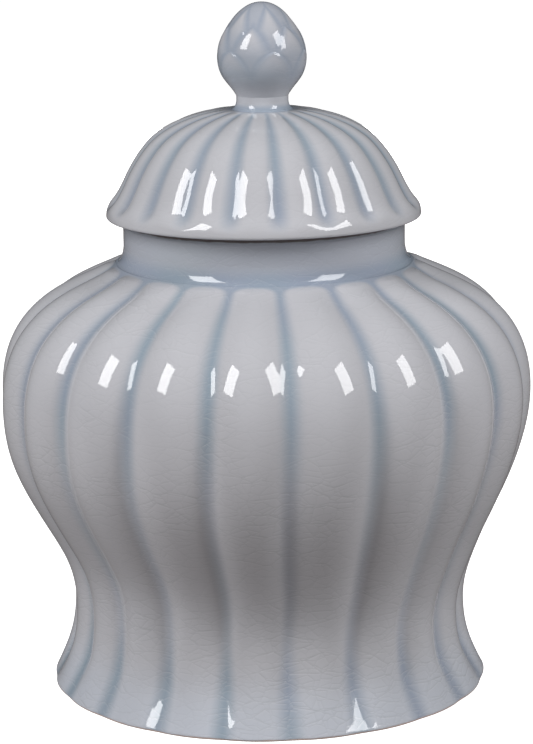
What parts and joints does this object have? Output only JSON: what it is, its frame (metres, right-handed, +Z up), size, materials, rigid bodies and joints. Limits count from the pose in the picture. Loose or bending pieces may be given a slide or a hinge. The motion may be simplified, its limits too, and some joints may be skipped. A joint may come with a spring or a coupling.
{
  "type": "ginger jar",
  "caption": "Covered jar with a lobed S-shaped body, a straight neck, a lobed domed lid and a lotus-bud finial, in pale blue-grey crackled glaze.",
  "frame": {"origin": "centre of the standing face, on the plane that the jar stands on", "axes": "+Z up along the jar's axis; a lobe crest is centred on each of +X, -X, +Y and -Y"},
  "size_m": [0.2388, 0.2388, 0.305],
  "materials": {
    "glaze": "glossy pale blue-grey celadon glaze with fine crackle, bluer where it pools",
    "bare_clay": "unglazed fired clay, matte, pinkish buff"
  },
  "bodies": {
    "jar": {"jar_body": "glaze", "neck_collar": "glaze", "base_floor": "glaze", "foot_ring": "bare_clay"},
    "lid": {"lid_dome": "glaze", "lid_flange": "bare_clay", "finial_collar": "glaze", "finial_bud": "glaze"}
  },
  "joints": [
    {"name": "lid_lift", "type": "slide", "parent": "jar", "child": "lid", "axis": [0, 0, 1], "range_m": [0, 0.11]}
  ]
}
